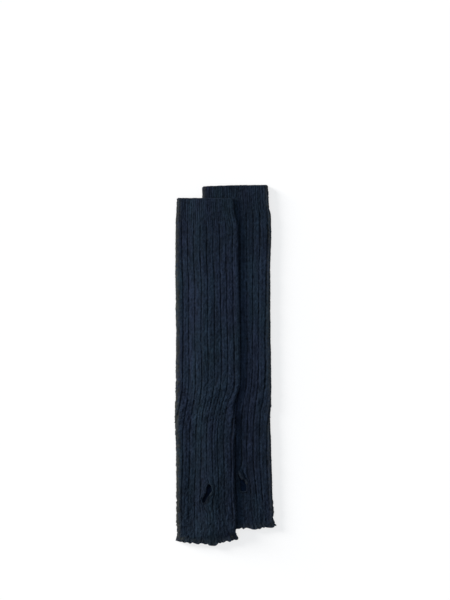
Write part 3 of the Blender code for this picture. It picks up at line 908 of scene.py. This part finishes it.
def knit_material(name, colour, flecks, lit_range, groove_shade_range):
    """Matt yarn: mottled from stitch to stitch, with painted shade in the grooves and towards the borders
    of stitches, pale fibres and a soft sheen.
    """
    made = bpy.data.materials.new(name)
    made.use_nodes = True
    tree = made.node_tree
    shader = tree.nodes["Principled BSDF"]

    def node(kind, **settings):
        added = tree.nodes.new(kind)
        for key, value in settings.items():
            if key in added.inputs:
                added.inputs[key].default_value = value
            else:
                setattr(added, key, value)
        return added

    def link(source, target):
        tree.links.new(source, target)

    def noise(scale, stretch, detail, roughness):
        mapping = node("ShaderNodeMapping")
        mapping.inputs["Scale"].default_value = stretch
        link(coordinates.outputs["Object"], mapping.inputs["Vector"])
        made_noise = node("ShaderNodeTexNoise", Scale=scale, Detail=detail, Roughness=roughness)
        link(mapping.outputs["Vector"], made_noise.inputs["Vector"])
        return made_noise.outputs["Fac"]

    def ranged(value, low, high, out_low, out_high):
        added = node("ShaderNodeMapRange")
        set_inputs(added, {"From Min": low, "From Max": high, "To Min": out_low, "To Max": out_high})
        link(value, added.inputs["Value"])
        return added.outputs["Result"]

    def patches(sizes, limits):
        return ranged(noise(*sizes), *limits)

    def math_node(operation, a, b=0.0):
        added = node("ShaderNodeMath", operation=operation)
        for socket, value in zip(added.inputs, (a, b)):
            if isinstance(value, float):
                socket.default_value = value
            else:
                link(value, socket)
        return added.outputs["Value"]

    def times(first, *others):
        for other in others:
            first = math_node("MULTIPLY", first, other)
        return first

    def attribute(label):
        return node("ShaderNodeAttribute", attribute_name=label).outputs["Fac"]

    def mixed(share, a, b):
        added = node("ShaderNodeMix", data_type="RGBA")
        link(share, added.inputs["Factor"])
        for socket, value in ((added.inputs["A"], a), (added.inputs["B"], b)):
            if isinstance(value, tuple):
                socket.default_value = (*value, 1)
            else:
                link(value, socket)
        return added.outputs["Result"]

    def tinted(tint):
        return tuple(part * factor for part, factor in zip(colour, tint))

    coordinates = node("ShaderNodeTexCoord")
    # Each row of stitches is a band of yarn, rounded across and parted along the middle of its V, with
    # painted shade towards its borders
    row, leg = attribute("course"), attribute("leg")
    across = math_node("ABSOLUTE", math_node("SUBTRACT", math_node("FRACT", row), 0.5))
    band = math_node("SUBTRACT", 1.0, math_node("POWER", times(across, 2.0), BAND_ROUND))
    stitch = times(band, ranged(leg, *MIDDLE_RELIEF), ranged(leg, *BORDER_RELIEF))
    lit = times(band, ranged(leg, *MIDDLE_SHADE), ranged(leg, *BORDER_SHADE))
    ply = math_node("SINE", math_node("ADD", times(row, PLY_TURNS[0]), times(leg, PLY_TURNS[1])))

    inside = attribute("inside")
    yarn = mixed(patches(*HUES), tinted(GREENER), tinted(REDDER))
    # Painted shade inside the tube: a bluer tint
    yarn = mixed(ranged(inside, *INSIDE_TINT), yarn, tinted(INSIDE_SHADE_TINT))
    level = times(
        patches(*MOTTLES),
        patches(*PATCHES),
        ranged(attribute("tone"), *TONE_RANGE),
        ranged(attribute("painted_shade"), 0, 1, *groove_shade_range),
        ranged(inside, *INSIDE_SHADE),
        ranged(lit, 0, 1, *lit_range),
        ranged(ply, *PLY_SHADE),
    )
    shade = node("ShaderNodeVectorMath", operation="SCALE")
    link(yarn, shade.inputs[0])
    link(level, shade.inputs["Scale"])
    # Stray fibres are thin broken lines where one noise crosses its middle
    line = math_node("ABSOLUTE", math_node("SUBTRACT", noise(*FIBRE_LINES), 0.5))
    fibres = times(ranged(line, 0.0, FIBRE_WIDTH, flecks, 0), patches(*FIBRE_PLACES))
    colour_out = mixed(fibres, shade.outputs["Vector"], FIBRE_COLOUR)
    colour_out = mixed(times(attribute("worn_and_lit"), patches(*WORN_AND_LIT_SPECKS)), colour_out, WORN_AND_LIT_COLOUR)
    link(colour_out, shader.inputs["Base Color"])
    link(patches(*GLOSS), shader.inputs["Roughness"])
    set_inputs(shader, YARN_SURFACE)
    relief = math_node("ADD", stitch, times(ply, PLY_RELIEF))
    relief = math_node("ADD", relief, times(noise(*FUZZ), FUZZ_RELIEF))
    bump = node("ShaderNodeBump", Strength=0.8, Distance=0.35 * MM)
    link(relief, bump.inputs["Height"])
    link(bump.outputs["Normal"], shader.inputs["Normal"])
    return made


# ---- The pair ----


def dress(piece, finish):
    """Gives a piece its finish. Every piece rides on the one body."""
    piece.data.materials.append(finish)
    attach(piece, "root")


def make_warmer(warmer, materials):
    """The pieces of a warmer, each with its finish."""
    side = warmer["name"]
    top, hem = warmer["top"], warmer["hem"]
    wide_knit, fine_knit, edging_yarn = materials
    heights = row_heights(warmer)
    seams = (hem + RUFFLE, hem + HAND_END, top - UPPER_CUFF)
    ruffle_end, hand_end, upper_start = (int(np.argmin(np.abs(heights - seam))) for seam in seams)
    calm_from = heights[hand_end]
    sleeve, _, rims = KnittedTube(warmer, "sleeve", hand_end, upper_start, wide=True, slit=True).build()
    upper_cuff, (_, top_line), _ = KnittedTube(warmer, "upper_cuff", upper_start, len(heights) - 1).build()
    hand_cuff, _, _ = KnittedTube(warmer, "hand_cuff", ruffle_end, hand_end, calm_from=calm_from).build()
    hem_tube = KnittedTube(warmer, "ruffle", 0, ruffle_end, hem=True, calm_from=calm_from)
    ruffle, (hem_line, _), _ = hem_tube.build(inner_step=1)
    slit_line = np.concatenate([rims[0], rims[1][::-1]])
    slit_line[:, 2] += EDGING_PROUD
    edging = cord_round(warmer, "thumb", slit_line, (0, 0, 1), THUMB_CORD, 31, warmer["nubs"], blur=5)
    hem_edge = cord_round(warmer, "hem", hem_line, (0, 1, 0), HEM_CORD, 32)
    top_edge = cord_round(warmer, "top", top_line, (0, 1, 0), TOP_CORD, 33)
    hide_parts(f"{side}_ruffle")
    sheets = {
        "sleeve": (sleeve, wide_knit, "wide_rib_knit", top - hem - UPPER_CUFF - HAND_END, []),
        "upper_cuff": (upper_cuff, fine_knit, "fine_rib_knit", UPPER_CUFF, [top_edge]),
        "hand_cuff": (hand_cuff, fine_knit, "fine_rib_knit", HAND_END - RUFFLE, [ruffle, hem_edge]),
    }
    for part, (piece, finish, slot, length, extra) in sheets.items():
        for each in (piece, *extra):
            dress(each, finish)
        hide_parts(f"{side}_{part}")
    dress(edging, edging_yarn)
    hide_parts(f"{side}_thumb_edging")


# ---- Studio ----

# Suns: azimuth, elevation and width in degrees, strength, colour, and what they do to the floor
SUNS = {
    "key": (164, 30, 13, 3.6, (1.08, 1.0, 0.93), "EXCLUDE"),
    "low": (170, 16, 10, 2.4, (1.08, 1.0, 0.93), "EXCLUDE"),
    "floor_light": (153, 13, 20, 11.8, (1.03, 1.0, 0.98), "INCLUDE"),
}
SKY = {"Color": (0.84, 1.0, 1.17, 1), "Strength": 0.57}
PAPER = {
    "Base Color": (0.2, 0.2, 0.2, 1),
    "Roughness": 0.9,
    "Specular IOR Level": 0.0,
    "Emission Color": (1.0, 0.99, 0.98, 1),
    "Emission Strength": 0.735,
}

FRAME_HEIGHT = 0.81  # what the camera sees from top to bottom
FRAME_MIDDLE = (-0.07 * MM, 88.2 * MM)
CAMERA_AWAY = 2.0
FOCUS_HEIGHT = 3 * MM  # the height at which the frame is that high
SENSOR = 36


def place_light(lamp, strength, colour, location, target, floor, on_floor):
    """A lamp that shines from a location at a target, on the floor alone or on all but the floor."""
    lamp.energy = strength
    lamp.color = colour
    light = bpy.data.objects.new(lamp.name, lamp)
    light.location = location
    light.rotation_euler = (location - target).to_track_quat("Z", "Y").to_euler()
    bpy.context.scene.collection.objects.link(light)
    receivers = bpy.data.collections.new(f"{lamp.name}_receivers")
    receivers.objects.link(floor)
    receivers.collection_objects[0].light_linking.link_state = on_floor
    light.light_linking.receiver_collection = receivers


def make_floor():
    """A pale floor with a faint glow of its own, so that its far side stays white."""
    bpy.ops.mesh.primitive_plane_add(size=24)
    floor = bpy.context.object
    floor.name = "floor"
    paper = bpy.data.materials.new("pale_paper")
    paper.use_nodes = True
    set_inputs(paper.node_tree.nodes["Principled BSDF"], PAPER)
    floor.data.materials.append(paper)
    return floor


def make_studio():
    """A low soft light from the left, a broad one from above and a light for the floor alone."""
    floor = make_floor()
    world = bpy.data.worlds.new("studio")
    world.use_nodes = True
    set_inputs(world.node_tree.nodes["Background"], SKY)
    bpy.context.scene.world = world
    for name, (azimuth, elevation, width, strength, colour, on_floor) in SUNS.items():
        lamp = bpy.data.lights.new(name, "SUN")
        lamp.angle = math.radians(width)
        turn, rise = math.radians(azimuth), math.radians(elevation)
        towards = Vector((math.cos(turn) * math.cos(rise), math.sin(turn) * math.cos(rise), math.sin(rise)))
        place_light(lamp, strength, colour, towards * 2, Vector(), floor, on_floor)
    box = bpy.data.lights.new("softbox", "AREA")
    box.size = 0.5
    place, target = Vector((-0.3, 0.5, 0.8)), Vector((0, 0.1, 0))
    place_light(box, 4.0, (0.97, 1.0, 1.07), place, target, floor, "EXCLUDE")
    bpy.context.scene.view_settings.view_transform = "Standard"


def make_camera():
    """Straight above the pair."""
    camera = bpy.data.objects.new("camera", bpy.data.cameras.new("camera"))
    camera.data.lens = SENSOR * CAMERA_AWAY / FRAME_HEIGHT
    camera.location = (*FRAME_MIDDLE, CAMERA_AWAY + FOCUS_HEIGHT)
    bpy.context.scene.collection.objects.link(camera)
    bpy.context.scene.camera = camera


materials = [knit_material(name, *looks) for name, looks in YARNS.items()]
make_warmer(RIGHT, materials)
make_warmer(LEFT, materials)
make_studio()
make_camera()
